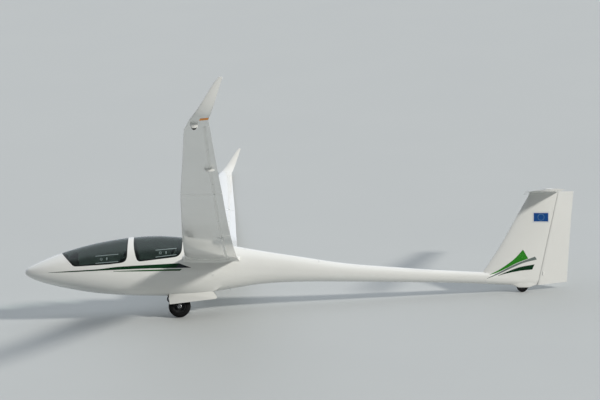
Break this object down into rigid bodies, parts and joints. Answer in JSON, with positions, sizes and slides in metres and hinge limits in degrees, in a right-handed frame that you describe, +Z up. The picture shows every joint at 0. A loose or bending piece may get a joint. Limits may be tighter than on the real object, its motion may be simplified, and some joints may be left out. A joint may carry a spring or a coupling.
{
  "type": "two-seat powered sailplane",
  "caption": "Powered sailplane with seats in tandem, bent-up wings with winglets, T-tail, airbrakes, side-hinged canopy and belly wheel, parked with its right wing low.",
  "frame": {"origin": "on the ground, under the middle of the parked aircraft's bounding box", "axes": "+X aft along the fuselage, +Y towards the right wing tip, +Z up from the ground"},
  "size_m": [8.8196, 19.3772, 5.4391],
  "materials": {
    "gelcoat": "polished white gelcoat",
    "canopy_glass": "clear acrylic, faintly tinted",
    "seat_tray": "light grey painted laminate",
    "seat_cloth": "dark woven upholstery",
    "cockpit_dark": "matt black covering",
    "engine_metal": "cast alloy",
    "tyre_rubber": "black rubber",
    "wheel_metal": "machined alloy",
    "gear_paint": "dark grey paint on steel",
    "airbrake_metal": "brushed alloy sheet"
  },
  "bodies": {
    "airframe": {"fuselage": "gelcoat", "tailplane": "gelcoat", "wing_inner_left": "gelcoat", "wing_outer_left": "gelcoat", "winglet_left": "gelcoat", "wing_inner_right": "gelcoat", "wing_outer_right": "gelcoat", "winglet_right": "gelcoat", "tip_wheel_fairing_left": "gelcoat", "tip_wheel_fairing_right": "gelcoat", "seat_tray_front": "seat_tray", "seat_cushion_front": "seat_cloth", "back_cushion_front": "seat_cloth", "headrest_front": "seat_cloth", "control_stick_front": "cockpit_dark", "seat_tray_rear": "seat_tray", "seat_cushion_rear": "seat_cloth", "back_cushion_rear": "seat_cloth", "headrest_rear": "seat_cloth", "control_stick_rear": "cockpit_dark", "instrument_pod_front": "cockpit_dark", "instrument_panel_rear": "cockpit_dark", "engine": "engine_metal", "main_axle": "wheel_metal", "main_fork": "gear_paint", "gear_door_left": "gelcoat", "gear_door_right": "gelcoat", "tail_axle": "wheel_metal"},
    "canopy": {"canopy_frame": "gelcoat", "canopy_glass_front": "canopy_glass", "canopy_glass_rear": "canopy_glass"},
    "rudder": {"rudder": "gelcoat"},
    "elevator": {"elevator_left": "gelcoat", "elevator_right": "gelcoat"},
    "main_wheel": {"main_tyre": "tyre_rubber", "main_rim": "wheel_metal"},
    "tail_wheel": {"tail_tyre": "tyre_rubber", "tail_hub": "wheel_metal"},
    "tip_wheel_left": {"tip_wheel_left": "tyre_rubber"},
    "tip_wheel_right": {"tip_wheel_right": "tyre_rubber"},
    "flap_inner_left": {"flap_inner_left": "gelcoat"},
    "flap_outer_left": {"flap_outer_left": "gelcoat"},
    "flap_inner_right": {"flap_inner_right": "gelcoat"},
    "flap_outer_right": {"flap_outer_right": "gelcoat"},
    "aileron_left": {"aileron_left": "gelcoat"},
    "aileron_right": {"aileron_right": "gelcoat"},
    "airbrake_upper_left": {"airbrake_upper_left": "gelcoat"},
    "airbrake_lower_left": {"airbrake_lower_left": "airbrake_metal"},
    "airbrake_upper_right": {"airbrake_upper_right": "gelcoat"},
    "airbrake_lower_right": {"airbrake_lower_right": "airbrake_metal"},
    "engine_door_left": {"engine_door_left": "gelcoat"},
    "engine_door_right": {"engine_door_right": "gelcoat"}
  },
  "joints": [
    {"name": "canopy_hinge", "type": "hinge", "parent": "airframe", "child": "canopy", "pos_m": [-2.74263, -0.21882, 0.76983], "axis": [-0.9974, 0, 0.0716], "range_deg": [0, 80]},
    {"name": "rudder_hinge", "type": "hinge", "parent": "airframe", "child": "rudder", "pos_m": [3.95919, -0.46187, 0.79943], "axis": [0.2822, 0.2427, 0.9281], "range_deg": [-27, 27]},
    {"name": "elevator_hinge", "type": "hinge", "parent": "airframe", "child": "elevator", "pos_m": [4.02277, -0.27874, 1.51059], "axis": [-0.0178, 0.9686, -0.2478], "range_deg": [-22, 18]},
    {"name": "main_wheel_spin", "type": "hinge", "parent": "airframe", "child": "main_wheel", "pos_m": [-1.99252, -0.73124, 0.17189], "axis": [-0.0178, 0.9686, -0.2478], "continuous": true},
    {"name": "tail_wheel_spin", "type": "hinge", "parent": "airframe", "child": "tail_wheel", "pos_m": [3.4855, -0.65222, 0.08748], "axis": [-0.0178, 0.9686, -0.2478], "continuous": true},
    {"name": "tip_wheel_left_spin", "type": "hinge", "parent": "airframe", "child": "tip_wheel_left", "pos_m": [-1.15004, -9.46323, 4.79932], "axis": [-0.0178, 0.9686, -0.2478], "continuous": true},
    {"name": "tip_wheel_right_spin", "type": "hinge", "parent": "airframe", "child": "tip_wheel_right", "pos_m": [-1.49234, 9.17333, 0.03079], "axis": [-0.0178, 0.9686, -0.2478], "continuous": true},
    {"name": "flap_inner_left_hinge", "type": "hinge", "parent": "airframe", "child": "flap_inner_left", "pos_m": [-1.13217, -2.4094, 1.50414], "axis": [-0.0116, 0.9368, -0.3496], "range_deg": [-10, 16]},
    {"name": "flap_outer_left_hinge", "type": "hinge", "parent": "airframe", "child": "flap_outer_left", "pos_m": [-1.08968, -5.22849, 2.67065], "axis": [-0.0163, 0.9099, -0.4144], "range_deg": [-10, 16]},
    {"name": "flap_inner_right_hinge", "type": "hinge", "parent": "airframe", "child": "flap_inner_right", "pos_m": [-1.20229, 1.40805, 0.52737], "axis": [-0.0238, 0.9894, -0.1432], "range_deg": [-10, 16]},
    {"name": "flap_outer_right_hinge", "type": "hinge", "parent": "airframe", "child": "flap_outer_right", "pos_m": [-1.26727, 4.44057, 0.19663], "axis": [-0.0188, 0.9971, -0.0735], "range_deg": [-10, 16]},
    {"name": "aileron_left_hinge", "type": "hinge", "parent": "airframe", "child": "aileron_left", "pos_m": [-1.04052, -7.97605, 4.03702], "axis": [-0.0158, 0.8797, -0.4753], "range_deg": [-18, 18]},
    {"name": "aileron_right_hinge", "type": "hinge", "parent": "airframe", "child": "aileron_right", "pos_m": [-1.32489, 7.50659, 0.07548], "axis": [-0.0188, 0.9998, -0.0056], "range_deg": [-18, 18]},
    {"name": "airbrake_upper_left_slide", "type": "slide", "parent": "airframe", "child": "airbrake_upper_left", "axis": [0.066, 0.3887, 0.919], "range_m": [0, 0.124]},
    {"name": "airbrake_lower_left_slide", "type": "slide", "parent": "airframe", "child": "airbrake_lower_left", "axis": [0.066, 0.3887, 0.919], "range_m": [0, 0.062]},
    {"name": "airbrake_upper_right_slide", "type": "slide", "parent": "airframe", "child": "airbrake_upper_right", "axis": [0.0712, 0.1028, 0.9922], "range_m": [0, 0.124]},
    {"name": "airbrake_lower_right_slide", "type": "slide", "parent": "airframe", "child": "airbrake_lower_right", "axis": [0.0712, 0.1028, 0.9922], "range_m": [0, 0.062]},
    {"name": "engine_door_left_hinge", "type": "hinge", "parent": "airframe", "child": "engine_door_left", "pos_m": [-0.31061, -0.61985, 0.85061], "axis": [0.9716, -0.0418, -0.233], "range_deg": [0, 80]},
    {"name": "engine_door_right_hinge", "type": "hinge", "parent": "airframe", "child": "engine_door_right", "pos_m": [-0.3138, -0.44598, 0.80612], "axis": [-0.9716, 0.0418, 0.233], "range_deg": [0, 80]}
  ],
  "couplings": [
    {"joint": "flap_outer_left_hinge", "follows": "flap_inner_left_hinge", "ratio": 1},
    {"joint": "flap_inner_right_hinge", "follows": "flap_inner_left_hinge", "ratio": 1},
    {"joint": "flap_outer_right_hinge", "follows": "flap_inner_left_hinge", "ratio": 1},
    {"joint": "aileron_right_hinge", "follows": "aileron_left_hinge", "ratio": -1},
    {"joint": "airbrake_lower_left_slide", "follows": "airbrake_upper_left_slide", "ratio": 0.5},
    {"joint": "airbrake_upper_right_slide", "follows": "airbrake_upper_left_slide", "ratio": 1},
    {"joint": "airbrake_lower_right_slide", "follows": "airbrake_upper_left_slide", "ratio": 0.5},
    {"joint": "engine_door_right_hinge", "follows": "engine_door_left_hinge", "ratio": 1}
  ]
}
